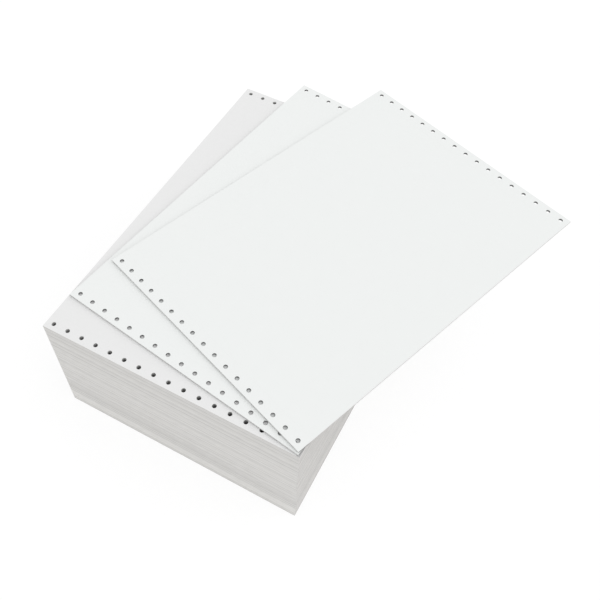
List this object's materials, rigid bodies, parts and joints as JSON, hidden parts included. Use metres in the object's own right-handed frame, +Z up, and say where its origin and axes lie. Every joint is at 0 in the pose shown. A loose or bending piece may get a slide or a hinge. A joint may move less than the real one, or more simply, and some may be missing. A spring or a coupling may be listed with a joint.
{
  "type": "stack of continuous form paper",
  "caption": "Thick block of blank fan-folded continuous form paper with sprocket holes along both cut edges, and loose folded sections fanned out on top round one corner.",
  "frame": {"origin": "centre of the underside of the stack, on the surface it stands on", "axes": "+Z up; +X from fold to fold, along the rows of sprocket holes; +Y across the form from the front cut edge to the back one. The loose sections are fanned out clockwise, seen from above, round the stack's front right corner at +X -Y"},
  "size_m": [0.3154, 0.3611, 0.1186],
  "materials": {
    "form_paper": "matte"
  },
  "bodies": {
    "root": {"folded_stack": "form_paper", "loose_section_lower": "form_paper", "loose_section_upper": "form_paper"}
  },
  "joints": []
}
